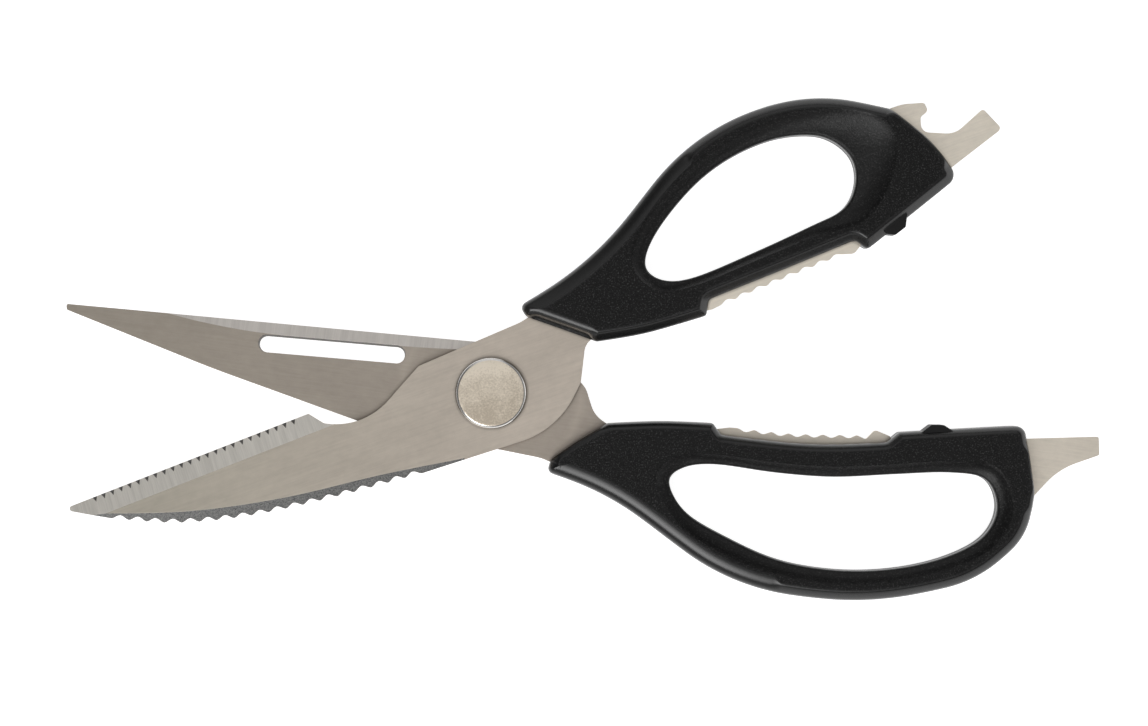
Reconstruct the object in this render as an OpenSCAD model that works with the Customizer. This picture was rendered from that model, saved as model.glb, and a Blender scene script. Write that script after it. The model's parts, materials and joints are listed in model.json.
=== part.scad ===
// Poultry shears: two full-tang steel halves on one pivot, each in a two-shell moulded handle.
//
// Each half is drawn in its own frame: the pivot axis is Z, the blade points along -X, the handle
// lies along +X and to the +Y side, and Z = 0 is the plane between the two blades. The outer face
// of the half is up. The front half is turned up by half the opening angle. The rear half is
// rolled over about X, so that its outer face is down, and turned the other way.

/* [Opening] */
// Angle between the two halves at rest
open_angle = 27.4; // [1.7:0.1:80]

/* [Steel] */
// Thickness of each blade and its tang
steel_t = 2.2; // [1.8:0.1:2.4]
// Gap between the two blades at the pivot
blade_gap = 0.2; // [0.16:0.02:0.3]
// Thickness left at a ground cutting edge
edge_t = 0.35; // [0.2:0.05:0.6]
// Height of the fish-scaling teeth
scaler_depth = 0.9; // [0.6:0.05:1.2]
// Height of the nut-gripping teeth
nut_tooth_depth = 0.65; // [0.4:0.05:0.9]
// Width of the long slot through the rear blade
slot_w = 3.9; // [2.5:0.1:4.2]

/* [Pivot] */
// Diameter of the stud's disc head
head_d = 15.3; // [13:0.1:17]
// Height of the disc head above the front blade
head_h = 2.0; // [1.4:0.1:2.4]
// Diameter of the stud's bearing shank
shank_d = 7.0; // [6:0.1:8]
// Radial running clearance between the shank and the rear blade
running_clearance = 0.04; // [0.02:0.01:0.1]

/* [Handles] */
// Thickness of a closed handle
handle_t = 11; // [10:0.5:13]
// Width of the slope along a handle's outer edges
slope_w = 1.3; // [0.6:0.1:1.4]
// Drop of that slope
slope_h = 1.6; // [0.8:0.1:2.2]
// Depth of the scoop around a finger loop
scoop_depth = 1.7; // [1:0.1:2]
// Diameter of the dowels that lock a tang into its handle
dowel_d = 2.5; // [2:0.25:3]
// Thickness of the rubber stops between the handles
stop_t = 9.2; // [4:0.2:9.4]

/* [Hidden] */

black_plastic = [0.05, 0.05, 0.05];
black_rubber = [0.09, 0.09, 0.09];
blade_steel = [0.66, 0.63, 0.59];
bright_steel = [0.76, 0.73, 0.68];
nylon = [0.90, 0.89, 0.85];

curve_tol = 0.012;     // largest gap between an arc on the steel and the chords that draw it
shell_tol = 0.04;      // the same for the handles
least_r = 0.6;         // smallest radius left on a corner that is moved inwards
round_fn = 96;         // facets drawn on a true cylinder
face_in = blade_gap / 2;
face_out = face_in + steel_t;
half_t = handle_t / 2;

// ---- Outlines in a half's own frame, counter-clockwise, as corners [x, y, corner radius] ----

// The round heel at the pivot, and the neck that runs from it into the handle's nose
front_heel = [[10.9, -12.1, 19]];
rear_heel = [[11.4, -11.25, 19]];
front_neck = [[18.9, -4.2, 3], [22.4, 3.0, 3.2], [26.5, 5.0, 0]];
rear_neck = [[20.0, -3.9, 5], [22.6, 1.6, 6], [28.0, 4.2, 0]];

// Fish scaler: the curved back of the front blade, through the tips of its teeth
scaler_back = [[-85.8, 1.4], [-82.3, -0.25], [-72.0, -4.45], [-57.2, -7.95], [-38.3, -10.15], [-19.7, -11.4]];
scaler_teeth = 18;
// Where the ground band of the scaler ends on the blade's flat
scaler_band = [[-92.6, 5.4], [-84.5, 2.1], [-67.6, -3.1], [-48.5, -6.7], [-28.1, -8.8], [-10.0, -11.3]];

// Nut-gripping teeth: the line through their tips, and how many there are along it
front_grip = [[52.6, 1.55], [67.1, 2.45], [81.3, 3.2]];
front_grip_teeth = 8;
rear_grip = [[53.5, -0.05], [64.8, -0.5], [79.2, -2.2]];
rear_grip_teeth = 7;

// Long slot of the rear blade: centres of its two round ends
slot_ends = [[-49.2, -3.7], [-21.4, -5.3]];

front_tip = [-93.8, 5.8, 0.5];
front_grip_start = [[47.2, 5.0, 0], [47.9, 1.75, 0], [50.6, 1.3, 1.5]];
front_tail = [
    // last lobe of the grip, the pry tab, the bottle opener, then back along the finger loop
    [83.4, 2.6, 1.2], [87.0, 4.9, 0], [90.0, 6.8, 0],
    [122.1, 17.5, 0.9], [119.65, 22.9, 0.7], [112.2, 19.75, 5], [105.55, 22.5, 1.8],
    [106.4, 25.6, 0.9], [108.4, 26.3, 0.9], [108.2, 28.25, 0.7], [103.6, 29.5, 8],
    [98.5, 29.5, 0], [95.0, 28.4, 0], [91.8, 21.0, 0], [90.0, 12.9, 0],
    [83.0, 10.2, 0], [64.0, 8.2, 0], [43.0, 7.2, 0], [30.0, 13.6, 0], [18.5, 14.2, 0]
];
// Ends of the front blade's straight cutting edge
front_cut = [[-38.6, 8.72, 0.2], [-93.6, 6.74, 0.4]];
front_edge = [
    // straight shoulder, bone notch and cutting edge
    [11.0, 12.25, 10], [-12.8, 10.6, 0.6], [-28.5, 1.75, 15], [-36.1, 5.7, 0.9],
    front_cut[0], front_cut[1]
];

rear_tip = [-93.2, -5.95, 0.4];
rear_grip_start = [[47.6, 3.2, 0], [49.0, 0.8, 0.5], [51.8, 0.05, 0]];
rear_tail = [
    // last large lobe, the screwdriver, then back along the finger loop
    [81.1, -1.6, 0.6], [82.8, -3.9, 0.9], [86.2, -3.0, 0.5], [87.0, -1.2, 0], [92.0, -2.2, 0],
    [113.5, -6.35, 0], [130.6, -9.3, 0.4], [131.3, -5.4, 0.4], [123.1, -1.15, 16], [118.2, 5.9, 0.6],
    [112.8, 5.2, 0], [109.6, 1.1, 0], [101.5, 0.7, 0], [73.0, 5.4, 0], [44.0, 6.6, 0],
    [30.0, 13.4, 0], [19.5, 14.2, 0]
];
rear_edge = [
    [12.5, 12.3, 10], [-17.0, 10.7, 4], [-20.6, 11.5, 0.5], [-60.0, 3.35, 150], [-92.9, -4.7, 0.4]
];

front_outline = [
    [25.0, 2.95, 1.6], [35.0, 1.1, 60], [49.0, 0.45, 0.7], [50.6, 3.6, 1.4], [67.0, 4.35, 60],
    [84.2, 5.3, 1.5], [86.2, 2.5, 1.1], [109.85, 10.85, 2.6], [106.55, 20.3, 30], [100.7, 29.45, 1.3],
    [86.6, 38.05, 39], [60.3, 39.35, 48], [29.5, 19.15, 70], [11.75, 15.65, 1.4], [12.5, 13.0, 1.2],
    [18.7, 8.05, 30]
];
rear_outline = [
    [25.6, 2.85, 1.8], [37.0, 0.7, 80], [48.0, -0.4, 0.8], [50.0, 1.9, 1.5], [70.0, 1.4, 110],
    [85.4, -1.6, 1.5], [87.7, -4.15, 1.2], [114.1, -9.45, 2.3], [118.25, 4.8, 3], [118.1, 14.0, 14],
    [108.6, 25.15, 27], [86.6, 33.3, 70], [57.2, 34.0, 50], [27.8, 17.65, 60], [14.1, 15.0, 1.3],
    [14.8, 12.1, 1], [19.6, 7.65, 30]
];

// Finger loops, and the outer ends of the scoops around them, as points on smooth closed curves
front_loop = [
    [40.2, 14.3], [43.0, 10.6], [49.5, 9.1], [62.8, 9.9], [76.0, 11.2], [84.4, 12.5], [88.7, 17.2],
    [89.2, 23.0], [84.9, 28.6], [76.5, 31.3], [67.1, 31.1], [57.8, 28.6], [48.9, 23.8], [42.5, 18.7]
];
front_scoop = [
    [37.6, 14.2], [41.4, 8.6], [49.5, 7.3], [62.8, 8.1], [76.5, 8.8], [88.0, 8.8], [96.6, 15.8],
    [99.9, 24.2], [94.4, 31.3], [79.0, 35.4], [65.3, 34.5], [55.8, 31.7], [46.3, 26.5], [39.4, 20.2]
];
rear_loop = [
    [40.5, 13.5], [43.2, 9.9], [50.0, 8.25], [62.5, 8.2], [75.0, 7.35], [88.0, 4.9], [99.6, 2.85],
    [107.5, 3.2], [110.8, 8.9], [108.7, 15.5], [101.4, 20.9], [91.0, 24.9], [79.0, 27.0],
    [66.2, 26.7], [54.3, 23.4], [45.0, 19.4]
];
rear_scoop = [
    [37.4, 13.2], [41.4, 7.6], [49.8, 6.1], [62.3, 6.0], [74.8, 5.1], [87.6, 2.7], [99.6, 0.4],
    [109.5, 0.6], [114.1, 8.9], [110.9, 17.4], [102.8, 23.1], [91.8, 27.4], [79.4, 29.8],
    [65.8, 29.6], [52.9, 26.4], [43.2, 21.6]
];

// Dowel centres along each tang
front_dowels = [[25, 10.2], [72, 6.4], [102.5, 18]];
rear_dowels = [[27, 10.2], [72, 3.2], [104, -2.2]];

// Rubber stops: corners of a plug whose outer end stands proud of the handle's inner edge
front_stop_corners = [
    [90.7, 6.4, 0], [91.0, 4.4, 0.4], [92.9, 3.5, 0.4], [95.5, 4.4, 0.5], [96.7, 6.9, 0.4], [96.4, 8.3, 0]
];
rear_stop_corners = [
    [92.0, -3.6, 0], [92.4, -4.8, 0.4], [94.3, -6.7, 0.5], [96.9, -7.05, 0.5], [99.0, -6.1, 0.3],
    [99.1, -4.7, 0]
];

// ---- Plane geometry ----

function unit(v) = v / norm(v);
function turned(v, angle) = [v.x * cos(angle) - v.y * sin(angle), v.x * sin(angle) + v.y * cos(angle)];
function mix(a, b, share) = a + (b - a) * share;

// One rounded corner: inset moves both edges towards the inside of a counter-clockwise outline
function corner_arc(before, corner, after, inset, tol) =
    let (
        p = [corner.x, corner.y],
        to_before = unit([before.x, before.y] - p),
        to_after = unit([after.x, after.y] - p),
        half_angle = acos(to_before * to_after) / 2,
        left = cross(-to_before, to_after) > 0,
        r = corner.z,
        centre = p + unit(to_before + to_after) * r / sin(half_angle),
        start = (p + to_before * r / tan(half_angle) - centre) / r,
        sweep = (left ? 1 : -1) * (180 - 2 * half_angle),
        steps = max(2, ceil(abs(sweep) / (2 * acos(1 - min(tol / r, 0.2))))),
        moved_r = left ? max(r - inset, min(r, least_r)) : r + inset
    )
    [for (i = [0:steps]) centre + turned(start, sweep * i / steps) * moved_r];

// A closed outline from corners; a corner with no radius is a plain point
function rounded(corners, inset = 0, tol = curve_tol) =
    let (n = len(corners))
    [for (i = [0:n - 1])
        each corners[i].z == 0
            ? [[corners[i].x, corners[i].y]]
            : corner_arc(corners[(i + n - 1) % n], corners[i], corners[(i + 1) % n], inset, tol)];

// A point between knots b and c of a smooth curve, with a and d the knots on either side
function between(a, b, c, d, t) =
    (2 * b + (c - a) * t + (2 * a - 5 * b + 4 * c - d) * t * t + (3 * b - a - 3 * c + d) * t * t * t) / 2;

function closed_curve(knots, steps = 5) =
    let (n = len(knots))
    [for (i = [0:n - 1], s = [0:steps - 1])
        between(knots[(i + n - 1) % n], knots[i], knots[(i + 1) % n], knots[(i + 2) % n], s / steps)];

function open_curve(knots, steps = 6) =
    let (n = len(knots), ends = concat([2 * knots[0] - knots[1]], knots, [2 * knots[n - 1] - knots[n - 2]]))
    concat(
        [for (i = [0:n - 2], s = [0:steps - 1])
            between(ends[i], ends[i + 1], ends[i + 2], ends[i + 3], s / steps)],
        [knots[n - 1]]
    );

// Distance run along a path at each of its points
function run_lengths(path, i = 0, total = 0) =
    i == len(path) ? [] :
    let (here = i == 0 ? 0 : total + norm(path[i] - path[i - 1]))
    concat([here], run_lengths(path, i + 1, here));

// The path again, as evenly spaced points
function evenly(path, count) =
    let (
        runs = run_lengths(path),
        whole = runs[len(runs) - 1],
        xs = [for (i = [0:len(path) - 1]) [runs[i], path[i].x]],
        ys = [for (i = [0:len(path) - 1]) [runs[i], path[i].y]]
    )
    [for (i = [0:count]) [lookup(whole * i / count, xs), lookup(whole * i / count, ys)]];

// Rounded teeth cut into a path from its left side: tips on the path, valleys depth deep
function toothed(path, teeth, depth, steps = 8) =
    let (points = evenly(path, round(teeth * steps)), n = len(points))
    [for (i = [0:n - 1])
        let (
            along = unit(points[min(i + 1, n - 1)] - points[max(i - 1, 0)]),
            wave = pow((1 - cos(360 * i / steps)) / 2, 0.85)
        )
        [points[i].x - along.y * depth * wave, points[i].y + along.x * depth * wave, 0]];

// ---- Solids shared by several parts ----

// A closed solid through outlines of equal length, given from the bottom up as [z, outline]
module skin(layers) {
    n = len(layers[0][1]);
    top = (len(layers) - 1) * n;
    polyhedron(
        points = [for (layer = layers) each [for (p = layer[1]) [p.x, p.y, layer[0]]]],
        faces = concat(
            [[for (i = [0:n - 1]) i]],
            [for (k = [0:len(layers) - 2], i = [0:n - 1])
                each let (a = k * n + i, b = k * n + (i + 1) % n) [[a, a + n, b + n], [a, b + n, b]]],
            [[for (i = [n - 1:-1:0]) top + i]]
        ),
        convexity = 10
    );
}

// Takes a ground slope off the upper side of a plate, from the line `flat` on its face at z_flat
// down to the line `edge` at z_edge. Both lines have the same number of points.
module grind(flat, edge, z_flat, z_edge) {
    beyond = 0.4;
    n = len(flat);
    drop = z_edge - z_flat;
    high = z_flat + 1;
    edge_on_left = cross(flat[1] - flat[0], edge[0] - flat[0]) > 0;
    points = [for (k = [0:n - 1])
        let (
            i = edge_on_left ? k : n - 1 - k,
            across = edge[i] - flat[i],
            a = flat[i] - across * beyond,
            b = edge[i] + across * beyond
        )
        each [
            [a.x, a.y, z_flat - drop * beyond],
            [b.x, b.y, z_edge + drop * beyond],
            [b.x, b.y, high - drop * beyond]
        ]];
    polyhedron(
        points = points,
        faces = concat(
            [[0, 1, 2]],
            [for (i = [0:n - 2], k = [0:2])
                each let (a = 3 * i + k, b = 3 * i + (k + 1) % 3) [[a, a + 3, b + 3], [a, b + 3, b]]],
            [[3 * n - 1, 3 * n - 2, 3 * n - 3]]
        ),
        convexity = 6
    );
}

module plate(corners, z0, z1) {
    translate([0, 0, z0]) linear_extrude(z1 - z0) polygon(rounded(corners));
}

module at_each(centres) {
    for (c = centres) translate([c.x, c.y, 0]) children();
}

module front_place() {
    rotate([0, 0, open_angle / 2]) children();
}

module rear_place() {
    rotate([0, 0, -open_angle / 2]) rotate([180, 0, 0]) children();
}

// ---- Steel halves ----

front_profile = concat(
    [front_tip], toothed(open_curve(scaler_back), scaler_teeth, scaler_depth), front_heel,
    front_neck, front_grip_start, toothed(open_curve(front_grip), front_grip_teeth, nut_tooth_depth), front_tail,
    front_edge
);

rear_profile = concat(
    [rear_tip], rear_heel,
    rear_neck, rear_grip_start, toothed(open_curve(rear_grip), rear_grip_teeth, nut_tooth_depth), rear_tail,
    rear_edge
);

// The same tangs without their teeth, which lie outside the handles: the shape of the pockets
function pocket(neck, grip_start, tail, edge) =
    concat([[0, 0, 0]], neck, grip_start, tail, [[edge[0].x, edge[0].y, 0]]);
front_pocket = pocket(front_neck, front_grip_start, front_tail, front_edge);
rear_pocket = pocket(rear_neck, rear_grip_start, rear_tail, rear_edge);

// Small V notches along the front blade's cutting edge: each runs out on the bevel, above the edge's land
notch_pitch = 1.985;
notch_count = 24;
notch_start = 3.6;     // from the heel of the cutting edge to the first notch
notch_floor = 0.03;    // thickness left under a notch at the edge
notch_rise = 36;       // slope of a notch's floor, degrees
notch_spread = 64;     // angle between a notch's side and its middle plane

module notches() {
    high = 0.45;
    heel = [front_cut[0].x, front_cut[0].y];
    along = unit([front_cut[1].x, front_cut[1].y] - heel);
    side = high * tan(notch_spread);
    for (i = [0:notch_count - 1]) {
        place = heel + along * (notch_start + notch_pitch * i);
        translate([place.x, place.y, face_in + notch_floor])
            rotate([0, 0, atan2(-along.y, -along.x)])
            rotate([90 - notch_rise, 0, 0])
            linear_extrude(4, center = true) polygon([[0, 0], [side, high], [-side, high]]);
    }
}

module front_blade() {
    cut_edge = [[-34, 8.88], [-96, 6.65]];
    cut_flat = [[-34, 4.7], [-96, 2.45]];
    band_edge = open_curve([for (p = scaler_band) p + [-0.3, -1.9]]);
    color(blade_steel) front_place() difference() {
        plate(front_profile, face_in, face_out);
        grind(cut_flat, cut_edge, face_out, face_in + edge_t);
        grind(open_curve(scaler_band), band_edge, face_out, face_out - 1.0);
        notches();
        cylinder(d = shank_d, h = handle_t, center = true, $fn = round_fn);
        at_each(front_dowels) cylinder(d = dowel_d, h = handle_t, center = true, $fn = round_fn);
    }
}

// The long slot: on the blade's back side its wall slopes inwards towards the far face
slot_slope = 0.45;

function slot_outline(w, shift) =
    let (reach = slot_ends[1] - slot_ends[0], l = norm(reach), angle = atan2(reach.y, reach.x), half = round_fn / 2)
    [for (i = [0:2 * half + 1])
        let (a = i <= half ? 90 + 180 * i / half : -90 + 180 * (i - half - 1) / half)
        slot_ends[0] + turned([(i <= half ? 0 : l) + w / 2 * cos(a), w / 2 * sin(a) + shift], angle)];

module slot_cut() {
    skin([
        [-half_t, slot_outline(slot_w, 0)], [face_in, slot_outline(slot_w, 0)],
        [face_out + 0.1, slot_outline(slot_w - slot_slope, slot_slope / 2)]
    ]);
}

module rear_blade() {
    cut_edge = [[-12, 13.45], [-98, -5.95]];
    cut_flat = [[-12, 9.55], [-98, -9.85]];
    back_flat = open_curve([[-76, -7.65], [-64, -6.25], [-51, -5.75], [-34, -6.4], [-18, -7.4], [2, -9.2]]);
    back_edge = [for (p = back_flat) [p.x, p.y - 3]];
    back_slope = 0.18;
    driver_flat = [[124.0, -12], [124.0, 2]];
    driver_edge = [[131.2, -12], [131.2, 2]];
    driver_t = 1.0;
    color(blade_steel) rear_place() difference() {
        plate(rear_profile, face_in, face_out);
        grind(cut_flat, cut_edge, face_out, face_in + edge_t);
        // the blade's back is relieved on its inner face, down to the slot
        mirror([0, 0, 1]) grind(back_flat, back_edge, -face_in, -face_in - 3 * back_slope);
        grind(driver_flat, driver_edge, face_out, face_in + driver_t);
        slot_cut();
        cylinder(d = shank_d + 2 * running_clearance, h = handle_t, center = true, $fn = round_fn);
        at_each(rear_dowels) cylinder(d = dowel_d, h = handle_t, center = true, $fn = round_fn);
    }
}

// ---- Handles ----

dowel_depth = 1.2;

// Everything between two heights, over the whole length of a handle
module slab(z0, z1) {
    translate([0, -20, z0]) cube([140, 70, z1 - z0]);
}

// A shell before its loop is cut: upright sides, then a slope up to the flat outer face
module shell_blank(outline) {
    full = rounded(outline, 0, shell_tol);
    sloped = rounded(outline, slope_w, shell_tol);
    over = 0.3;
    difference() {
        skin([
            [-over, full], [half_t - slope_h, full],
            [half_t + over, mix(full, sloped, 1 + over / slope_h)]
        ]);
        slab(-1, 0);
        slab(half_t, half_t + 1);
    }
}

// One moulded shell of a handle, on the outer side of its half
module handle_shell(outline, loop, scoop, tang, stop, dowels, pocket) {
    inner = closed_curve(loop);
    outer = closed_curve(scoop);
    difference() {
        shell_blank(outline);
        skin(concat(
            [[-2, inner], [half_t - scoop_depth - 0.6, inner]],
            [for (share = [0.15, 0.5, 0.8, 1.08])
                [half_t - scoop_depth * (1 - share * share), mix(inner, outer, share)]]
        ));
        if (pocket) plate(tang, -1, face_out);
        plate(stop, -1.5, stop_t / 2);
        at_each(dowels) translate([0, 0, -1])
            cylinder(d = dowel_d, h = 1 + (pocket ? face_out : 0) + dowel_depth, $fn = round_fn);
    }
}

module front_shell(pocket) {
    handle_shell(
        front_outline, front_loop, front_scoop, front_pocket, front_stop_corners, front_dowels, pocket
    );
}

module rear_shell(pocket) {
    handle_shell(
        rear_outline, rear_loop, rear_scoop, rear_pocket, rear_stop_corners, rear_dowels, pocket
    );
}

module front_handle_upper() {
    color(black_plastic) front_place() front_shell(true);
}

module front_handle_lower() {
    color(black_plastic) front_place() mirror([0, 0, 1]) front_shell(false);
}

module rear_handle_upper() {
    color(black_plastic) rear_place() mirror([0, 0, 1]) rear_shell(false);
}

module rear_handle_lower() {
    color(black_plastic) rear_place() rear_shell(true);
}

module dowel_set(centres) {
    at_each(centres) translate([0, 0, -dowel_depth])
        cylinder(d = dowel_d, h = face_out + 2 * dowel_depth, $fn = round_fn);
}

module front_handle_dowels() {
    color(bright_steel) front_place() dowel_set(front_dowels);
}

module rear_handle_dowels() {
    color(bright_steel) rear_place() dowel_set(rear_dowels);
}

module front_stop() {
    color(black_rubber) front_place() plate(front_stop_corners, -stop_t / 2, stop_t / 2);
}

module rear_stop() {
    color(black_rubber) rear_place() plate(rear_stop_corners, -stop_t / 2, stop_t / 2);
}

// ---- Pivot ----

washer_t = 0.4;
washer_d = 12;
spring_rise = 0.45;
spring_t = 0.35;
nut_w = 10;
nut_t = 1.75;
thread_d = 5;
rim_r = 0.85;
washer_top = -face_out;
spring_top = washer_top - washer_t;
nut_top = spring_top - spring_rise - spring_t;

// Disc head with a rolled rim, bearing shank and threaded tail, in one turned piece
module pivot_stud() {
    head_r = head_d / 2;
    rim = [for (a = [0:15:90]) [head_r - rim_r + rim_r * cos(a), face_out + head_h - rim_r + rim_r * sin(a)]];
    color(bright_steel) front_place() rotate_extrude($fn = round_fn) polygon(concat(
        [
            [0, nut_top - nut_t], [thread_d / 2 - 0.3, nut_top - nut_t],
            [thread_d / 2, nut_top - nut_t + 0.3], [thread_d / 2, spring_top],
            [shank_d / 2, spring_top], [shank_d / 2, face_out], [head_r - 0.3, face_out],
            [head_r, face_out + 0.3]
        ],
        rim,
        [[0, face_out + head_h]]
    ));
}

module ring(outer_d, inner_d, z0, z1) {
    translate([0, 0, z0]) difference() {
        cylinder(d = outer_d, h = z1 - z0, $fn = round_fn);
        translate([0, 0, -1]) cylinder(d = inner_d, h = z1 - z0 + 2, $fn = round_fn);
    }
}

// Low-friction shim that keeps the two blades just apart
module blade_shim() {
    color(nylon) ring(13, shank_d + 0.1, -face_in, face_in);
}

module thrust_washer() {
    color(bright_steel) ring(washer_d, shank_d, spring_top, washer_top);
}

// Dished spring washer: its rim bears on the thrust washer, its bore on the nut
module spring_washer() {
    bore_r = thread_d / 2 + 0.2;
    rim_reach = washer_d / 2 - 0.8;
    color(bright_steel) rotate_extrude($fn = round_fn) polygon([
        [bore_r, nut_top], [rim_reach, spring_top - spring_t],
        [rim_reach, spring_top], [bore_r, nut_top + spring_t]
    ]);
}

// Low hexagonal nut with a chamfered free face
module pivot_nut() {
    corner_r = nut_w / 2 / cos(30);
    color(bright_steel) front_place() difference() {
        intersection() {
            translate([0, 0, nut_top - nut_t]) cylinder(r = corner_r, h = nut_t, $fn = 6);
            translate([0, 0, nut_top - nut_t])
                cylinder(r1 = nut_w / 2 - 0.2, r2 = nut_w / 2 - 0.2 + nut_t * 1.6, h = nut_t, $fn = round_fn);
        }
        translate([0, 0, nut_top - nut_t - 1]) cylinder(d = thread_d, h = nut_t + 2, $fn = round_fn);
    }
}

front_blade();
rear_blade();
front_handle_upper();
front_handle_lower();
rear_handle_upper();
rear_handle_lower();
front_handle_dowels();
rear_handle_dowels();
front_stop();
rear_stop();
pivot_stud();
blade_shim();
thrust_washer();
spring_washer();
pivot_nut();
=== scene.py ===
"""Looks of the poultry shears: the steel keeps its CAD shape, the handles get smooth moulded shells.

The two halves are drawn in their own frames, in millimetres: the pivot axis is Z, the blade points
along -X, the handle lies along +X and to the +Y side, and the outer face is up.
"""

import json
import math

import bpy
import numpy as np
from mathutils import Matrix, Vector, kdtree
from mathutils.geometry import delaunay_2d_cdt


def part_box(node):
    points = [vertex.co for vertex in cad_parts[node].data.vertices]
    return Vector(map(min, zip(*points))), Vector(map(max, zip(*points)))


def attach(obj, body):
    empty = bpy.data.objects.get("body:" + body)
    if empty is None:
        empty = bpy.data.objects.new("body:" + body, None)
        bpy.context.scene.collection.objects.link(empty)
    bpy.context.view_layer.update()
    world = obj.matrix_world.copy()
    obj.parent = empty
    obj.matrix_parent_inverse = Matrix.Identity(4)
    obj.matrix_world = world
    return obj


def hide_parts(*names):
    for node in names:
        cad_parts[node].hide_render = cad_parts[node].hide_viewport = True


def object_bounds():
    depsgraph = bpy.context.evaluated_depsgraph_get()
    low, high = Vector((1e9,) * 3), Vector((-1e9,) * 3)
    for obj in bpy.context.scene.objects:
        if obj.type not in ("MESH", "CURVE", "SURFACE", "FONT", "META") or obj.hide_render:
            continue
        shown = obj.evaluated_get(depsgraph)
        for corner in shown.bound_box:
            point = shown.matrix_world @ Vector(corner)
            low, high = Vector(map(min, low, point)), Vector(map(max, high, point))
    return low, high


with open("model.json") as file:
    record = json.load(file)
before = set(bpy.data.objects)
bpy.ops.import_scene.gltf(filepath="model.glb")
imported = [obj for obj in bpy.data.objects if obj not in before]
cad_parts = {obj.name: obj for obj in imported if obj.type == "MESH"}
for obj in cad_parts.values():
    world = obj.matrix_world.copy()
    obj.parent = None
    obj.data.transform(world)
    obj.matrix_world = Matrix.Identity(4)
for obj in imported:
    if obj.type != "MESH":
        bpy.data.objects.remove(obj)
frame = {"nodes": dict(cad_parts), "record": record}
cad_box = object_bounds()

MM = 0.001
TINY = 1e-12            # keeps a division away from zero
half_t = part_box("front_handle_upper")[1].z / MM         # half of a handle's thickness
head_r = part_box("pivot_stud")[1].x / MM                 # radius of the pivot's disc head


# ---- The two halves ----

def mount_angle(name):
    """Angle in the XY plane of a mount's axis."""
    axis = next(m["axis"] for m in frame["record"]["mounts"] if m["name"] == name)
    return math.atan2(axis[1], axis[0])


# The opener looks along the front half's +X, and the driver along the rear half's
front_angle = mount_angle("opener_hook")
rear_angle = mount_angle("driver_tip")
FRONT = Matrix.Rotation(front_angle, 4, "Z")
REAR = Matrix.Rotation(rear_angle, 4, "Z") @ Matrix.Rotation(math.pi, 4, "X")


def half_mesh(node, half):
    """A CAD node's welded points, in mm in its half's own frame, and its triangles."""
    mesh = frame["nodes"][node].data
    back = half.inverted()
    points = np.array([back @ v.co for v in mesh.vertices]) / MM
    mesh.calc_loop_triangles()
    triangles = np.array([t.vertices for t in mesh.loop_triangles])
    welded, index = np.unique(np.round(points, 3), axis=0, return_inverse=True)
    return welded, index.reshape(-1)[triangles]


def rings(points, triangles, level):
    """Loops of edges at the height |z| = level that bound the flat faces there, longest first.

    A loop that a pocket interrupts is closed with a straight edge.
    """
    tolerance = 0.01
    at = np.abs(np.abs(points[:, 2]) - level) < tolerance
    flat_uses = {}
    for tri in triangles:
        flat = at[tri].all()
        for a, b in ((tri[0], tri[1]), (tri[1], tri[2]), (tri[2], tri[0])):
            if at[a] and at[b]:
                key = (min(a, b), max(a, b))
                flat_uses[key] = flat_uses.get(key, 0) + int(flat)
    beside = {}
    for (a, b), uses in flat_uses.items():
        if uses != 2:
            beside.setdefault(a, []).append(b)
            beside.setdefault(b, []).append(a)
    found = []
    while beside:
        ends = [k for k, v in beside.items() if len(v) == 1]
        here = ends[0] if ends else next(iter(beside))
        loop = [here]
        while beside.get(here):
            there = beside[here].pop()
            beside[there].remove(here)
            loop.append(there)
            here = there
        beside = {k: v for k, v in beside.items() if v}
        if loop[0] == loop[-1]:
            loop.pop()
        found.append(points[loop, :2])
    return sorted(found, key=lambda ring: -perimeter(ring))


# ---- Plane curves ----

CHUNK = 2000            # points measured at one time, so that the tables of distances stay small


def perimeter(ring):
    return np.linalg.norm(np.roll(ring, -1, 0) - ring, axis=1).sum()


def counter_clockwise(ring):
    ahead = np.roll(ring, -1, 0)
    area = (ring[:, 0] * ahead[:, 1] - ahead[:, 0] * ring[:, 1]).sum()
    return ring if area > 0 else ring[::-1]


def smooth_ring(ring, spacing):
    """A quadratic spline with the ring's corners as its control points, as evenly spaced points."""
    ring = counter_clockwise(ring)
    before = (ring + np.roll(ring, 1, 0)) / 2
    after = (ring + np.roll(ring, -1, 0)) / 2
    steps = 12
    fine = []
    for k in range(steps):
        t = k / steps
        fine.append((1 - t) ** 2 * before + 2 * t * (1 - t) * ring + t * t * after)
    fine = np.stack(fine, 1).reshape(-1, 2)
    closed = np.vstack([fine, fine[:1]])
    runs = np.concatenate([[0], np.cumsum(np.linalg.norm(np.diff(closed, axis=0), axis=1))])
    at = np.linspace(0, runs[-1], int(runs[-1] / spacing), endpoint=False)
    return np.stack([np.interp(at, runs, closed[:, 0]), np.interp(at, runs, closed[:, 1])], 1)


def left_normals(ring):
    """Unit normals to the left of a closed curve, which is its inside when it runs counter-clockwise."""
    along = np.roll(ring, -1, 0) - np.roll(ring, 1, 0)
    along /= np.linalg.norm(along, axis=1)[:, None]
    return np.stack([-along[:, 1], along[:, 0]], 1)


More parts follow.
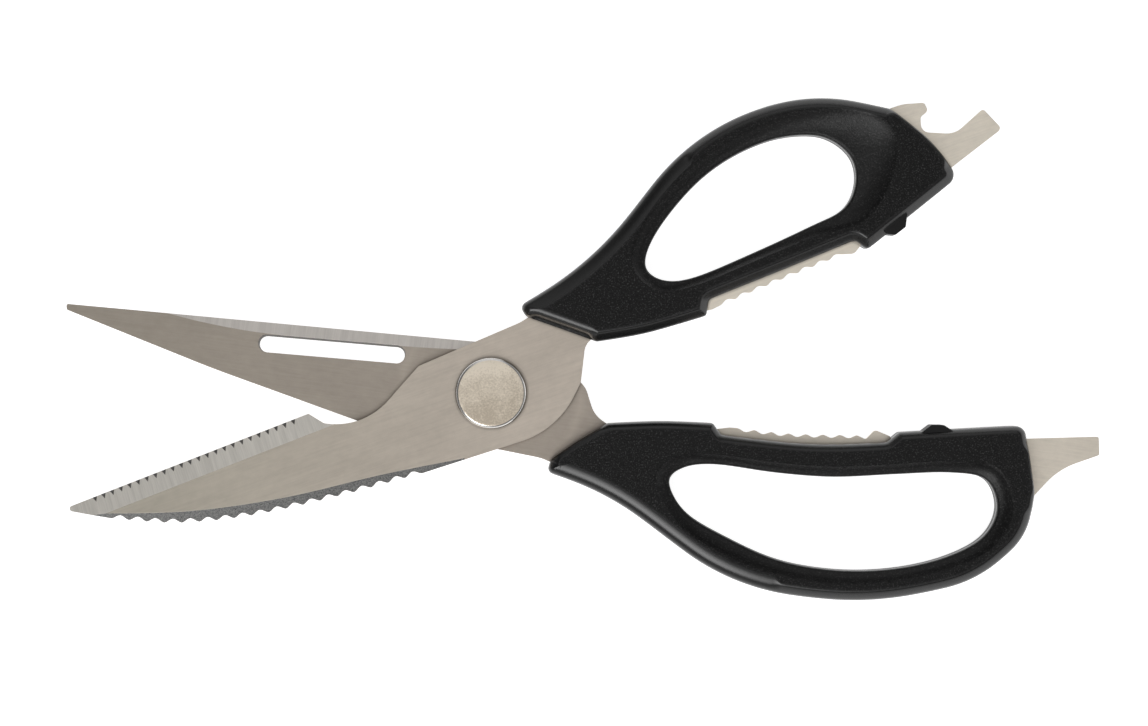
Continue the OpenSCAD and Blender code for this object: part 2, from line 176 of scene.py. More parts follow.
def nearest(points, ring):
    """Distance from each point to a closed curve, and the place along it, counted in its points."""
    distance = np.empty(len(points))
    place = np.empty(len(points))
    ahead = np.roll(ring, -1, 0)
    run = ahead - ring
    length2 = (run ** 2).sum(1)
    for start in range(0, len(points), CHUNK):
        p = points[start:start + CHUNK]
        gap = ((p[:, None, :] - ring[None]) ** 2).sum(2)
        first = gap.argmin(1)
        best = np.full(len(p), np.inf)
        where = np.zeros(len(p))
        for shift in (-1, 0):
            seg = (first + shift) % len(ring)
            t = ((p - ring[seg]) * run[seg]).sum(1) / length2[seg]
            t = np.clip(t, 0, 1)
            d = np.linalg.norm(p - ring[seg] - run[seg] * t[:, None], axis=1)
            closer = d < best
            best = np.where(closer, d, best)
            where = np.where(closer, seg + t, where)
        distance[start:start + CHUNK] = best
        place[start:start + CHUNK] = where
    return distance, place


def inside(points, ring):
    """Whether each point lies inside a closed curve."""
    result = np.zeros(len(points), bool)
    ahead = np.roll(ring, -1, 0)
    for start in range(0, len(points), CHUNK):
        p = points[start:start + CHUNK]
        y = p[:, None, 1]
        crosses = (ring[None, :, 1] > y) != (ahead[None, :, 1] > y)
        rise = ahead[:, 1] - ring[:, 1]
        rise = np.where(np.abs(rise) < TINY, TINY, rise)
        x = ring[:, 0] + (y - ring[:, 1]) * (ahead[:, 0] - ring[:, 0]) / rise
        result[start:start + CHUNK] = (crosses & (p[:, None, 0] < x)).sum(1) % 2 == 1
    return result


def smoothstep(t):
    t = np.clip(t, 0, 1)
    return t * t * (3 - 2 * t)


# ---- Handle shells ----

# Levels of the CAD's handle, measured down from its flat face
SLOPE_DROP = 1.6        # to the top of its upright sides
LOOP_LEVEL = 2.3        # to the top of the upright wall of its finger loop

# Edge styles: width of the edge band, its drop, how round it is, and the width of a ledge at its foot
SOFT = (3.2, 2.4, 1.0, 0.0)
RIM = (2.1, 2.4, 0.45, 0.0)
INNER = (2.1, 2.2, 0.12, 0.0)
NOSE = (2.7, 1.6, 1.0, 0.95)
REAR_NOSE = (1.2, 1.2, 0.9, 0.0)
REAR_INNER = (1.5, 1.9, 0.5, 0.0)
END = (1.3, 1.5, 0.6, 0.0)
THIN = (0.6, 0.6, 0.9, 0.0)
STYLE_BLEND = 1.6       # length over which one style turns into the next
CREASE_W = 0.5          # softness of the crease between the flat face and an edge band
LEDGE_STEP = 0.45       # height of the step down to a ledge
LEDGE_W = 0.25          # width over which that step falls
LEDGE_DROP = 0.35       # a ledge's own fall towards the outline
LEDGE_LEAST = 0.01      # a ledge narrower than this counts as this wide
SCOOP_DEPTH = 1.7       # of the finger scoop at the loop's edge
SCOOP_HOLLOW = 1.3      # how far a scoop sinks into a valley before it rises to the loop
LIP_R = 0.75            # round lip at the finger loop's edge
PART_LINE = 0.12        # chamfer at the parting line between the two shells

# Polish: 0 is the grain of the mould and 1 is worn quite smooth
LEDGE_POLISH = 0.05
SCOOP_POLISH = 0.35
WALL_POLISH = 0.6
BAND_FADE = 0.3         # width over which the polish of an edge band ends
BROW_FADE = 1.5         # width over which a scoop's polish begins

# Lines of points that a shell's mesh follows, by their distance from the curve they run along
SPACING = 0.34          # between the points of a curve
GRID = 0.5              # between the points that fill the rest
LEAST_GAP = 0.15        # between any two points
OUTLINE_GAP = 0.07      # between the outline and the nearest point
LOOP_GAP = 0.06         # between the finger loop's edge and the nearest point
FOLD = 0.02             # a point this much nearer to its curve than it should be is on a folded line
OUTLINE_LINES = (0.1, 0.25, 0.45, 0.7, 1.0, 1.35, 1.7, 2.1, 2.5, 3.0)
LOOP_LINES = (0.08, 0.2, 0.38, 0.6, 0.9, 1.3, 1.8)
CREASE_LINES = (-0.5, -0.25, 0.0)
STEP_LINES = (-LEDGE_W, -LEDGE_W / 2, 0.0, 0.12)
STEP_SHOWS = 0.2        # least width of a ledge whose step gets its own lines
SHARP_ANGLE = 50        # degrees, between faces whose edge is shown sharp

# Where each edge style starts, going counter-clockwise, as points on the outline
FRONT_STYLES = [
    ((13.2, 12.3), NOSE), ((24.2, 3.9), INNER), ((108.3, 14.5), THIN), ((101.2, 28.8), RIM),
    ((55.8, 35.1), SOFT),
]
REAR_STYLES = [
    ((15.2, 11.6), REAR_NOSE), ((24.6, 3.7), REAR_INNER), ((115.8, -4.6), THIN), ((118.2, 4.2), END),
    ((118.0, 8.5), RIM), ((66.5, 31.2), SOFT),
]


def edge_styles(outline, starts):
    """The style values at each point of the outline, blended where one style meets the next."""
    count = len(outline)
    spacing = perimeter(outline) / count
    _, places = nearest(np.array([p for p, _ in starts]), outline)
    values = np.array([style for _, style in starts])
    order = np.argsort(places)
    places, values = places[order], values[order]
    at = np.searchsorted(places, np.arange(count), side="right") - 1
    table = values[at]
    reach = int(STYLE_BLEND / spacing)
    kernel = np.hanning(2 * reach + 3)[1:-1]
    kernel /= kernel.sum()
    padded = np.vstack([table[-len(kernel):], table, table[:len(kernel)]])
    blended = np.stack([np.convolve(c, kernel, "same") for c in padded.T], 1)
    return blended[len(kernel):-len(kernel)]


def shell_height(points, outline, styles, loop, crease):
    """Height of a shell's outer surface, and how polished it is, at points in the plane."""
    edge, place = nearest(points, outline)
    low = np.floor(place).astype(int) % len(outline)
    share = (place - np.floor(place))[:, None]
    style = styles[low] * (1 - share) + styles[(low + 1) % len(outline)] * share
    width, drop, roundness, ledge = style.T
    t = np.clip((edge - ledge) / (width - ledge), 0, 1)
    soft = CREASE_W / (width - ledge)
    chamfer = np.where(t > 1 - soft, (1 - t) ** 2 / (2 * soft), 1 - t - soft / 2) / (1 - soft / 2)
    round_over = 1 - np.sqrt(np.clip(1 - (1 - t) ** 2, 0, 1))
    z = half_t - drop * (chamfer * (1 - roundness) + round_over * roundness)
    on_ledge = np.clip(ledge / LEDGE_W, 0, 1) * (1 - smoothstep((edge - ledge) / LEDGE_W + 1))
    along_ledge = np.clip(edge / np.maximum(ledge, LEDGE_LEAST), 0, 1)
    z -= on_ledge * (LEDGE_STEP + LEDGE_DROP * (1 - along_ledge))
    on_band = 1 - smoothstep((edge - width) / BAND_FADE + 0.5)
    polish = on_band * (1 - (1 - LEDGE_POLISH) * on_ledge)
    rim, _ = nearest(points, loop)
    brow, _ = nearest(points, crease)
    scooped = inside(points, crease)
    share = rim / np.maximum(rim + brow, TINY)
    z -= SCOOP_DEPTH * (1 - share) * (1 + SCOOP_HOLLOW * share) * scooped
    polish = np.maximum(polish, SCOOP_POLISH * scooped * smoothstep(brow / BROW_FADE))
    lip = np.clip(1 - rim / LIP_R, 0, 1)
    z -= LIP_R * (1 - np.sqrt(1 - lip ** 2))
    return z, polish


def spread_points(groups, gap):
    """The groups' points in turn, leaving out any closer than gap to one already taken."""
    taken = list(map(tuple, groups[0]))
    for group in groups[1:]:
        tree = kdtree.KDTree(len(taken))
        for i, p in enumerate(taken):
            tree.insert((p[0], p[1], 0), i)
        tree.balance()
        fresh = []
        for p in group:
            if tree.find((p[0], p[1], 0))[2] > gap:
                fresh.append(tuple(p))
        taken += fresh
    return np.array(taken)


def hex_grid(ring, spacing):
    low, high = ring.min(0), ring.max(0)
    rows = np.arange(low[1], high[1], spacing * math.sqrt(3) / 2)
    columns = np.arange(low[0], high[0], spacing)
    grid = [
        np.stack([columns + (i % 2) * spacing / 2, np.full(len(columns), y)], 1)
        for i, y in enumerate(rows)
    ]
    return np.vstack(grid)


def triangulate(points, loops):
    """Triangles over points, between the closed loops given as lists of their indices, outermost first."""
    edges = [(loop[i - 1], loop[i]) for loop in loops for i in range(len(loop))]
    corners, _, faces, origins, _, _ = delaunay_2d_cdt(
        [Vector(p) for p in points], edges, [], 0, 1e-7
    )
    source = np.array([o[0] for o in origins])
    triangles = source[np.array([f for f in faces])]
    centres = points[triangles].mean(1)
    keep = inside(centres, points[loops[0]])
    for hole in loops[1:]:
        keep &= ~inside(centres, points[hole])
    a, b, c = (points[triangles[:, k]] for k in range(3))
    area = (b[:, 0] - a[:, 0]) * (c[:, 1] - a[:, 1]) - (b[:, 1] - a[:, 1]) * (c[:, 0] - a[:, 0])
    triangles[area < 0] = triangles[area < 0][:, ::-1]
    return triangles[keep]


def plan_points(outline, loop, crease, styles):
    """Points over a shell's plan: the outline, the loop's edge, the lines along them, and a grid."""
    inward = left_normals(outline)
    outward = -left_normals(loop)
    lines = [outline + inward * (styles[:, :1] + shift) for shift in CREASE_LINES]
    stepped = styles[:, 3] > STEP_SHOWS
    lines += [(outline + inward * (styles[:, 3:] + shift))[stepped] for shift in STEP_LINES]
    lines.append(crease)
    for curve, normals, distances in ((outline, inward, OUTLINE_LINES), (loop, outward, LOOP_LINES)):
        for distance in distances:
            line = curve + normals * distance
            lines.append(line[nearest(line, curve)[0] > distance - FOLD])
    lines.append(hex_grid(outline, GRID))
    kept = []
    for line in lines:
        line = line[inside(line, outline) & ~inside(line, loop)]
        clear = (nearest(line, outline)[0] > OUTLINE_GAP) & (nearest(line, loop)[0] > LOOP_GAP)
        kept.append(line[clear])
    return spread_points([np.vstack([outline, loop])] + kept, LEAST_GAP)


def close_shell(top, outline, loop):
    """Points and triangles of a closed shell under its top's points.

    The top's points begin with those of the outline and the loop. Walls go down from both to a small
    chamfer at the flat parting face.
    """
    outer = np.arange(len(outline))
    inner = np.arange(len(outline), len(outline) + len(loop))
    points = [top]
    triangles = [triangulate(top[:, :2], [outer, inner])]
    count = len(top)
    feet = []
    walls = ((outline, left_normals(outline), outer, 1), (loop, -left_normals(loop), inner, -1))
    for curve, normals, upper, turn in walls:
        for height, shift in ((PART_LINE, 0.0), (0.0, PART_LINE)):
            points.append(np.column_stack([curve + normals * shift, np.full(len(curve), height)]))
            lower = np.arange(count, count + len(curve))
            count += len(curve)
            a, b = upper, np.roll(upper, -1)
            c, d = lower, np.roll(lower, -1)
            wall = np.vstack([np.column_stack([a, c, d]), np.column_stack([a, d, b])])
            triangles.append(wall[:, ::turn])
            upper = lower
        feet.append(upper)
    points = np.vstack(points)
    foot = np.concatenate(feet)
    split = len(outline)
    bottom = triangulate(points[foot, :2], [np.arange(split), np.arange(split, len(foot))])
    triangles.append(foot[bottom][:, ::-1])
    return points, np.vstack(triangles)


def shell_mesh(node, half, starts):
    """Points (mm, half's own frame), triangles and polish of the shell that stands for a node."""
    corners, faces = half_mesh(node, half)
    outline = smooth_ring(rings(corners, faces, half_t - SLOPE_DROP)[0], SPACING)
    loop = smooth_ring(rings(corners, faces, half_t - LOOP_LEVEL)[0], SPACING)
    crease = smooth_ring(rings(corners, faces, half_t)[1], SPACING)
    styles = edge_styles(outline, starts)
    plan = plan_points(outline, loop, crease, styles)
    z, polish = shell_height(plan, outline, styles, loop, crease)
    points, triangles = close_shell(np.column_stack([plan, z]), outline, loop)
    walls = np.full(len(points) - len(plan), WALL_POLISH)
    return points, triangles, np.concatenate([polish, walls])


def make_shell(name, points, triangles, polish, half, body):
    """A handle shell from points in mm in a half's own frame, riding on a body."""
    mesh = bpy.data.meshes.new(name)
    mesh.from_pydata((points * MM).tolist(), [], triangles.tolist())
    mesh.validate()
    mesh.transform(half)
    attribute = mesh.attributes.new("polish", "FLOAT", "POINT")
    attribute.data.foreach_set("value", polish.astype(np.float32))
    mesh.polygons.foreach_set("use_smooth", np.ones(len(mesh.polygons), bool))
    mesh.update()
    mesh.set_sharp_from_angle(angle=math.radians(SHARP_ANGLE))
    piece = bpy.data.objects.new(name, mesh)
    bpy.context.scene.collection.objects.link(piece)
    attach(piece, body)
    return piece


def make_handle(side, half, starts, body, outer_node, inner_node):
    """Both shells of one handle. The second is the first, mirrored in the plane between them."""
    points, triangles, polish = shell_mesh(outer_node, half, starts)
    near = make_shell(side + "_shell_outer", points, triangles, polish, half, body)
    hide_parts(outer_node)
    flipped = points * np.array([1, 1, -1])
    far = make_shell(side + "_shell_inner", flipped, triangles[:, ::-1], polish, half, body)
    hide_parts(inner_node)
    return [near, far]


# ---- Materials ----

class Nodes:
    """A short way to write the node tree of a material or a world."""

    def __init__(self, owner):
        owner.use_nodes = True
        self.owner = owner
        self.tree = owner.node_tree
        self.tree.nodes.clear()

    def add(self, kind, inputs=None, **settings):
        node = self.tree.nodes.new(kind)
        for key, value in settings.items():
            setattr(node, key, value)
        for key, value in (inputs or {}).items():
            self.feed(node.inputs[key], value)
        return node

    def feed(self, socket, value):
        if isinstance(value, bpy.types.NodeSocket):
            self.tree.links.new(value, socket)
        else:
            socket.default_value = value

    def math(self, operation, a, b=0.0):
        return self.add("ShaderNodeMath", {0: a, 1: b}, operation=operation).outputs[0]

    def weighted(self, *parts):
        """The sum of some values, each given with its weight."""
        terms = [self.math("MULTIPLY", value, weight) for value, weight in parts]
        total = terms[0]
        for term in terms[1:]:
            total = self.math("ADD", total, term)
        return total

    def scaled(self, vector, by):
        """A vector or colour, multiplied part by part."""
        return self.add("ShaderNodeVectorMath", {0: vector, 1: by}, operation="MULTIPLY").outputs[0]

    def along(self, vector, direction):
        """How far a vector reaches in a direction."""
        return self.add(
            "ShaderNodeVectorMath", {0: vector, 1: direction}, operation="DOT_PRODUCT"
        ).outputs["Value"]

    def part(self, vector, axis):
        return self.add("ShaderNodeSeparateXYZ", {0: vector}).outputs[axis]

    def place(self, turn=0.0, scale=(1, 1, 1)):
        """Coordinates in metres, turned about Z, then stretched."""
        where = self.add("ShaderNodeTexCoord").outputs["Object"]
        turned = self.add(
            "ShaderNodeVectorRotate", {"Vector": where, "Angle": turn}, rotation_type="Z_AXIS"
        ).outputs[0]
        return self.scaled(turned, scale)

    def noise(self, vector, scale=1.0, detail=3.0, roughness=0.5):
        return self.add(
            "ShaderNodeTexNoise",
            {"Vector": vector, "Scale": scale, "Detail": detail, "Roughness": roughness},
        ).outputs["Fac"]

    def strokes(self, angle, scale, detail, roughness):
        """Noise stretched along or across a half whose handle lies at the angle."""
        return self.noise(self.place(-angle, scale), 1.0, detail, roughness)

    def band(self, value, low, high, to_low=0.0, to_high=1.0, shape="LINEAR"):
        node = self.add(
            "ShaderNodeMapRange",
            {0: value, 1: low, 2: high, 3: to_low, 4: to_high},
            clamp=True,
            interpolation_type=shape,
        )
        return node.outputs[0]

    def mix_colour(self, share, a, b):
        node = self.add("ShaderNodeMix", data_type="RGBA")
        self.feed(node.inputs[0], share)
        self.feed(node.inputs[6], a)
        self.feed(node.inputs[7], b)
        return node.outputs[2]

    def bump(self, height, strength, distance, normal=None):
        inputs = {"Height": height, "Strength": strength, "Distance": distance}
        if normal is not None:
            inputs["Normal"] = normal
        return self.add("ShaderNodeBump", inputs).outputs[0]

    def painted_corner_shade(self, colour, reach, darkest):
        """The colour, darkened where another surface stands closer than reach: painted shade in corners
        and gaps.
        """
        open_sky = self.add("ShaderNodeAmbientOcclusion", {"Distance": reach}, samples=8).outputs["AO"]
        return self.scaled(colour, self.band(open_sky, 0.3, 0.9, darkest, 1.0))

    def rounded_edges(self, radius):
        """The surface's normal, bent so that its edges look rounded."""
        return self.add("ShaderNodeBevel", {"Radius": radius}, samples=4).outputs[0]

    def surface(self, inputs):
        """Ends a material with a principled surface, and returns the material."""
        shader = self.add("ShaderNodeBsdfPrincipled", inputs)
        self.add("ShaderNodeOutputMaterial", {"Surface": shader.outputs[0]})
        return self.owner


def tint(r, g, b):
    return (r, g, b, 1.0)


# Sizes in the materials, in metres: radius of a steel edge, where a blade's colours change along it, and
# the ring that the other half wears about the pivot
STEEL_EDGE_R = 0.0001
POINT_X = -0.09
TANG_START_X = 0.026
TANG_FULL_X = 0.044
WEAR_R = 0.0192
WEAR_W = 0.0016
# Reach and depth of the painted shade in corners
CORNER_REACH = 0.0008
CORNER_DARKEST = 0.45   # share of the light that is left deep in a corner


def brushed_steel(name, angle, tip, heel, tang, across=0.25, heel_x=0.0, wear=0.0):
    """Steel brushed along a half's length and a little across it.

    Its colour runs from the tip to the heel at heel_x, and on to the tang inside the handle, which is
    brighter: partly its own finish and partly painted light that makes up for the shade of the
    handle's walls. Wear brightens a ring about the pivot, just outside the other half's heel.
    """
    n = Nodes(bpy.data.materials.new(name))
    strokes = n.strokes(angle, (70, 2400, 70), 4.0, 0.6)
    cross = n.strokes(angle, (1900, 80, 80), 3.0, 0.5)
    cloud = n.strokes(angle, (45, 70, 70), 3.0, 0.6)
    mottle = n.strokes(angle, (420, 700, 420), 3.0, 0.6)
    relief = n.math("ADD", strokes, n.math("MULTIPLY", cross, across))
    where = n.place(-angle)
    x = n.part(where, "X")
    base = n.mix_colour(n.band(x, POINT_X, heel_x), tint(*tip), tint(*heel))
    # Tang colour: partly its brighter finish, partly painted light against the shade of the handle's walls
    base = n.mix_colour(n.band(x, TANG_START_X, TANG_FULL_X), base, tint(*tang))
    shade = n.weighted((strokes, 0.35), (cloud, 0.35), (mottle, 0.30))
    from_pivot = n.add("ShaderNodeVectorMath", {0: where}, operation="LENGTH").outputs["Value"]
    off_ring = n.math("ABSOLUTE", n.math("SUBTRACT", from_pivot, WEAR_R))
    worn = n.math("MULTIPLY", n.band(off_ring, 0, WEAR_W, 1, 0), wear)
    light = n.math("ADD", n.band(shade, 0.35, 0.65, 0.90, 1.10), worn)
    return n.surface({
        # Darkened near other surfaces: painted shade in corners and gaps
        "Base Color": n.painted_corner_shade(n.scaled(base, light), CORNER_REACH, CORNER_DARKEST),
        "Metallic": 1.0,
        "Roughness": n.band(relief, 0.3, 0.9, 0.28, 0.40),
        "Normal": n.bump(relief, 0.12, 0.00003, n.rounded_edges(STEEL_EDGE_R)),
    })


def ground_steel(name, angle, light, dark):
    """A ground facet: streaks of the wheel run across the blade."""
    n = Nodes(bpy.data.materials.new(name))
    streaks = n.strokes(angle, (700, 40, 40), 4.0, 0.65)
    fine = n.strokes(angle, (3500, 160, 160), 2.0, 0.6)
    shade = n.weighted((streaks, 0.7), (fine, 0.3))
    return n.surface({
        "Base Color": n.mix_colour(n.band(shade, 0.35, 0.65), tint(*dark), tint(*light)),
        "Metallic": 1.0,
        "Roughness": n.band(shade, 0.3, 0.7, 0.30, 0.45),
        "Normal": n.bump(shade, 0.15, 0.00004, n.rounded_edges(STEEL_EDGE_R)),
    })


def coarse_steel(name, light, dark, grain_size):
    """Rough, granular ground steel."""
    n = Nodes(bpy.data.materials.new(name))
    grain = n.noise(n.place(), 1 / grain_size, 3.0, 0.7)
    return n.surface({
        "Base Color": n.mix_colour(n.band(grain, 0.35, 0.65), tint(*dark), tint(*light)),
        "Metallic": 1.0,
        "Roughness": n.band(grain, 0.3, 0.7, 0.42, 0.62),
        "Normal": n.bump(grain, 0.5, 0.00008),
    })


def satin_steel(name, light, dark):
    """Steel with a fine even grain and cloudy patches, with painted light that makes it a little brighter
    towards +Y.
    """
    n = Nodes(bpy.data.materials.new(name))
    where = n.place()
    grain = n.noise(where, 2600, 3.0, 0.6)
    cloud = n.noise(where, 260, 3.0, 0.55)
    shade = n.weighted((grain, 0.6), (cloud, 0.4))
    # Painted light: brighter towards +Y and darker towards -Y
    shade = n.math("ADD", shade, n.band(n.part(where, "Y"), -0.007, 0.007, -0.16, 0.16))
    return n.surface({
        "Base Color": n.mix_colour(n.band(shade, 0.35, 0.65), tint(*dark), tint(*light)),
        "Metallic": 1.0,
        "Roughness": 0.34,
        "Normal": n.bump(grain, 0.12, 0.00003, n.rounded_edges(STEEL_EDGE_R)),
    })


def polished_steel():
    """The rolled rim of the disc head, with painted shadow on its steep outer faces, where it meets the
    blade.
    """
    n = Nodes(bpy.data.materials.new("polished_steel"))
    marks = n.noise(n.place(scale=(400, 400, 9000)), 1.0, 2.0, 0.5)
    facing_up = n.part(n.add("ShaderNodeTexCoord").outputs["Normal"], "Z")
    bright = n.mix_colour(marks, tint(0.74, 0.72, 0.69), tint(0.88, 0.86, 0.83))
    return n.surface({
        # Painted shadow: dark where the rim faces more sideways than up
        "Base Color": n.mix_colour(n.band(facing_up, 0.35, 0.70), tint(0.16, 0.15, 0.14), bright),
        "Metallic": 1.0,
        "Roughness": n.band(marks, 0.3, 0.7, 0.12, 0.2),
        "Normal": n.bump(marks, 0.04, 0.00002),
    })


def moulded_plastic():
    """Matt grained plastic with fine pale specks, polished along its edges."""
    n = Nodes(bpy.data.materials.new("moulded_plastic"))
    polish = n.add("ShaderNodeAttribute", attribute_name="polish").outputs["Fac"]
    where = n.place()
    grain = n.noise(where, 2600, 3.0, 0.6)
    coarse = n.noise(where, 700, 2.0, 0.5)
    relief = n.weighted((grain, 0.7), (coarse, 0.3))
    strength = n.band(polish, 0.0, 1.0, 1.0, 0.06)
    specks = n.band(n.noise(where, 3300, 1.0, 0.5), 0.55, 0.75)
    specks = n.math("MULTIPLY", specks, n.band(polish, 0.0, 1.0, 1.0, 0.25))
    return n.surface({
        "Base Color": n.mix_colour(specks, tint(0.002, 0.002, 0.002), tint(0.042, 0.042, 0.042)),
        "Roughness": n.band(polish, 0.0, 1.0, 0.40, 0.25),
        "Specular IOR Level": n.band(polish, 0.0, 1.0, 0.20, 0.55),
        "Normal": n.bump(relief, strength, 0.00018),
    })


def stop_rubber():
    """Smooth matt rubber with softly rounded edges."""
    n = Nodes(bpy.data.materials.new("stop_rubber"))
    grain = n.noise(n.place(), 2200, 3.0, 0.6)
    return n.surface({
        "Base Color": n.mix_colour(grain, tint(0.002, 0.002, 0.002), tint(0.009, 0.009, 0.009)),
        "Roughness": 0.5,
        "Specular IOR Level": 0.22,
        "Normal": n.bump(grain, 0.15, 0.00005, n.rounded_edges(0.0002)),
    })


def shim_nylon():
    """Smooth off-white nylon."""
    n = Nodes(bpy.data.materials.new("shim_nylon"))
    grain = n.noise(n.place(), 900, 2.0, 0.5)
    return n.surface({
        "Base Color": n.mix_colour(grain, tint(0.72, 0.70, 0.64), tint(0.80, 0.78, 0.72)),
        "Roughness": 0.45,
        "Normal": n.bump(grain, 0.08, 0.00003),
    })


def paint(piece, *materials):
    piece.data.materials.clear()
    for material in materials:
        piece.data.materials.append(material)


SMOOTH_ANGLE = 0.44     # radians, the most between faces that are shaded as one
SAME_PLACE = 1e-6       # metres, between corners that count as one


def soften(piece):
    """Shades a CAD node as smooth over the joints between facets of one finish, but keeps its edges.

    Its faces do not share corners, so the corners that lie at one place are found first.
    """
    mesh = piece.data
    co = np.empty(len(mesh.vertices) * 3)
    mesh.vertices.foreach_get("co", co)
    corner_vertex = np.empty(len(mesh.loops), int)
    mesh.loops.foreach_get("vertex_index", corner_vertex)
    sides = np.empty(len(mesh.polygons), int)
    mesh.polygons.foreach_get("loop_total", sides)
    normal = np.empty(len(mesh.polygons) * 3)
    mesh.polygons.foreach_get("normal", normal)
    area = np.empty(len(mesh.polygons))
    mesh.polygons.foreach_get("area", area)
    finish = np.empty(len(mesh.polygons), int)
    mesh.polygons.foreach_get("material_index", finish)
    at = np.round(co.reshape(-1, 3)[corner_vertex] / SAME_PLACE)
    _, place = np.unique(at, axis=0, return_inverse=True)
    place = place.reshape(-1)
    face = np.repeat(np.arange(len(sides)), sides)
    normal = normal.reshape(-1, 3)
    order = np.argsort(place, kind="stable")
    groups = np.split(order, np.flatnonzero(np.diff(place[order])) + 1)
    shaded = np.empty((len(place), 3))
    for group in groups:
        near = normal[face[group]]
        look = finish[face[group]]
        alike = (near @ near.T > math.cos(SMOOTH_ANGLE)) & (look[:, None] == look)
        total = (alike * np.sqrt(area[face[group]])) @ near
        shaded[group] = total / np.linalg.norm(total, axis=1)[:, None]
    mesh.polygons.foreach_set("use_smooth", np.ones(len(sides), bool))
    mesh.normals_split_custom_set(shaded.tolist())


# Where a blade's ground faces lie, in mm in its own half's frame
FRONT_GROUND_X = -10    # the front blade's begin here and run to its point
NOTCH_Y = 3             # the notches in its straight edge lie above this
REAR_GROUND_X = 10      # the rear blade's begin here and run to its point
SLOT_X = (-52, -18)
SLOT_Y = (-7.4, -1.6)


def finish_faces(piece, half, choose):
    """Gives each face the material that choose(normal, centre) names by its number."""
    back = half.inverted()
    turn = back.to_3x3()
    for face in piece.data.polygons:
        face.material_index = choose(turn @ face.normal, (back @ face.center) / MM)


def front_finish(normal, centre):
    """0 brushed flats, 1 the cutting bevel, 2 the scaler's ground band, 3 the notches in the edge."""
    tilted = 0.2 < normal.z < 0.97 and centre.x < FRONT_GROUND_X
    if not tilted:
        return 0
    if abs(normal.x) > 0.25 and centre.y > NOTCH_Y:
        return 3
    return 1 if normal.y > 0 else 2


def rear_finish(normal, centre):
    """0 brushed flats, 1 the relieved back and the ground slopes, 2 the walls of the long slot."""
    upright = abs(normal.z) < 0.3
    if upright:
        in_slot = SLOT_X[0] < centre.x < SLOT_X[1] and SLOT_Y[0] < centre.y < SLOT_Y[1]
        return 2 if in_slot else 0
    return 1 if 0.03 < abs(normal.y) < 0.6 and centre.x < REAR_GROUND_X else 0


def stud_finish(normal, centre):
    """0 the disc's face and the shank, 1 the polished rim of the disc."""
    rim_w = 1
    return 1 if math.hypot(centre.x, centre.y) > head_r - rim_w and normal.z < 0.99 else 0


# ---- The object ----

handles = make_handle(
    "front_handle", FRONT, FRONT_STYLES, "front_half", "front_handle_upper", "front_handle_lower"
)
handles += make_handle(
    "rear_handle", REAR, REAR_STYLES, "rear_half", "rear_handle_lower", "rear_handle_upper"
)
plastic = moulded_plastic()
for handle in handles:
    paint(handle, plastic)

rubber = stop_rubber()
satin = satin_steel("satin_steel", (0.88, 0.79, 0.66), (0.55, 0.475, 0.38))
front_face = brushed_steel(
    "front_brushed", front_angle, (0.415, 0.385, 0.324), (0.585, 0.519, 0.447), (0.86, 0.79, 0.68)
)
rear_face = brushed_steel(
    "rear_brushed", rear_angle, (0.35, 0.312, 0.265), (0.405, 0.357, 0.308), (0.755, 0.69, 0.595),
    across=0.9, heel_x=0.015, wear=0.12,
)
bevel = ground_steel("ground_bevel", front_angle, (0.875, 0.84, 0.775), (0.68, 0.65, 0.595))
relief = ground_steel("ground_relief", rear_angle, (0.735, 0.695, 0.65), (0.585, 0.55, 0.515))
band = coarse_steel("scaler_band", (0.265, 0.265, 0.258), (0.085, 0.085, 0.085), 0.0003)
# Dark colour of the edge notches: painted shade in their hollows
notch_shade = coarse_steel("edge_notch_shade", (0.22, 0.21, 0.20), (0.06, 0.06, 0.057), 0.00025)
wall = coarse_steel("slot_wall", (0.13, 0.12, 0.11), (0.06, 0.055, 0.05), 0.0003)
looks = {
    "front_blade": (front_face, bevel, band, notch_shade),
    "rear_blade": (rear_face, relief, wall),
    "front_handle_dowels": (satin,),
    "rear_handle_dowels": (satin,),
    "front_stop": (rubber,),
    "rear_stop": (rubber,),
    "pivot_stud": (satin, polished_steel()),
    "blade_shim": (shim_nylon(),),
    "thrust_washer": (satin,),
    "spring_washer": (satin,),
    "pivot_nut": (satin,),
}
for node, materials in looks.items():
    paint(frame["nodes"][node], *materials)
finish_faces(frame["nodes"]["front_blade"], FRONT, front_finish)
finish_faces(frame["nodes"]["rear_blade"], REAR, rear_finish)
finish_faces(frame["nodes"]["pivot_stud"], FRONT, stud_finish)
for node in looks:
    soften(frame["nodes"][node])


# ---- Stage, light and camera ----

# Soft boxes in the surroundings: direction, the angles from it where the light ends and is full, strength
SOFT_BOXES = [
    ((0.15, 0.05, 1.0), 0.80, 0.15, 0.48),
    ((-0.33, -0.49, 0.80), 0.44, 0.10, 3.3),
    ((0.0, 0.78, 0.62), 0.60, 0.10, 0.58),
]


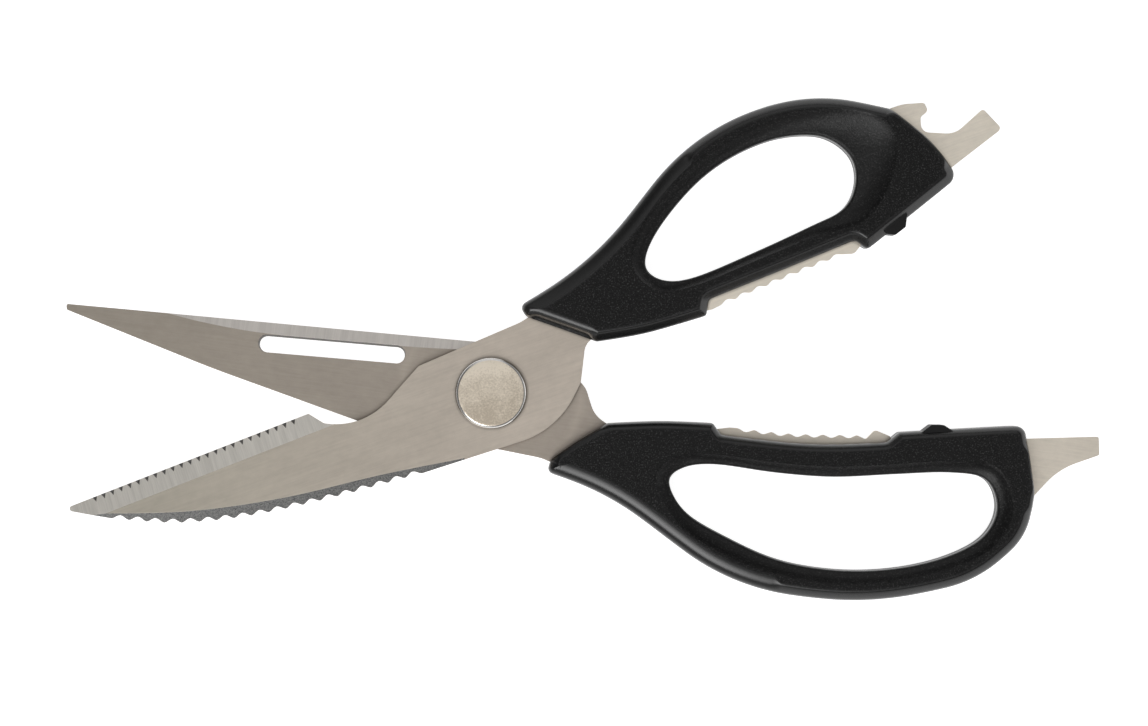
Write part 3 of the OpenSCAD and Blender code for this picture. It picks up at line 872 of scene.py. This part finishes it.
def make_floor():
    """A plain white sheet under the shears, which lights itself enough to hold no shadow.

    It is clear when seen from below, so that it doesn't hide the shears' underside.
    """
    size = 3.0
    gap = 0.0002
    mesh = bpy.data.meshes.new("floor")
    z = cad_box[0][2] - gap
    corners = [(-size, -size, z), (size, -size, z), (size, size, z), (-size, size, z)]
    mesh.from_pydata(corners, [], [(0, 1, 2, 3)])
    floor = bpy.data.objects.new("floor", mesh)
    bpy.context.scene.collection.objects.link(floor)
    n = Nodes(bpy.data.materials.new("floor_white"))
    paper = n.add("ShaderNodeBsdfPrincipled", {
        "Base Color": tint(0.5, 0.5, 0.5),
        "Roughness": 0.9,
        "Specular IOR Level": 0.1,
        "Emission Color": tint(1, 1, 1),
        "Emission Strength": 0.92,
    })
    clear = n.add("ShaderNodeBsdfTransparent")
    from_below = n.add("ShaderNodeNewGeometry").outputs["Backfacing"]
    sheet = n.add("ShaderNodeMixShader", {0: from_below, 1: paper.outputs[0], 2: clear.outputs[0]})
    n.add("ShaderNodeOutputMaterial", {"Surface": sheet.outputs[0]})
    mesh.materials.append(n.owner)


def make_world():
    """Soft surroundings: a bright horizon, most of all towards the lower right, and soft boxes."""
    world = bpy.data.worlds.new("studio")
    bpy.context.scene.world = world
    n = Nodes(world)
    direction = n.add("ShaderNodeTexCoord").outputs["Generated"]
    height = n.part(direction, "Z")
    horizon = n.band(n.along(direction, (0.71, -0.71, 0.0)), -0.2, 0.75, 0.20, 0.95)
    level = n.math("ADD", n.math("MULTIPLY", n.band(height, 0.60, 0.15, 0.0, 1.0), horizon), 0.12)
    for towards, reach, full, strength in SOFT_BOXES:
        facing = n.along(direction, Vector(towards).normalized())
        box = n.band(facing, math.cos(reach), math.cos(full), 0.0, strength, "SMOOTHSTEP")
        level = n.math("ADD", level, box)
    background = n.add("ShaderNodeBackground", {"Color": tint(1, 1, 1), "Strength": level})
    n.add("ShaderNodeOutputWorld", {"Surface": background.outputs[0]})


def make_light(name, place, size, power):
    """A square soft light aimed at the pivot."""
    light = bpy.data.lights.new(name, "AREA")
    light.size = size
    light.energy = power
    lamp = bpy.data.objects.new(name, light)
    lamp.location = place
    lamp.rotation_euler = (-Vector(place)).to_track_quat("-Z", "Y").to_euler()
    bpy.context.scene.collection.objects.link(lamp)


def make_camera():
    """Straight above the flat side, a little off the middle, with a long lens."""
    turn = math.radians(-5.5)
    distance = 0.9
    frame_w = 0.2468
    centre = Vector((0.0183, 0.0047, 0.0))
    data = bpy.data.cameras.new("camera")
    data.sensor_width = 36.0
    data.lens = data.sensor_width * distance / frame_w
    data.clip_end = 10.0
    camera = bpy.data.objects.new("camera", data)
    camera.location = centre + Vector((0, 0, distance))
    camera.rotation_euler = (0, 0, turn)
    bpy.context.scene.collection.objects.link(camera)
    bpy.context.scene.camera = camera


make_floor()
make_world()
make_light("key", (-0.38, -0.52, 0.68), 0.4, 1.2)
make_camera()
bpy.context.scene.view_settings.view_transform = "Standard"
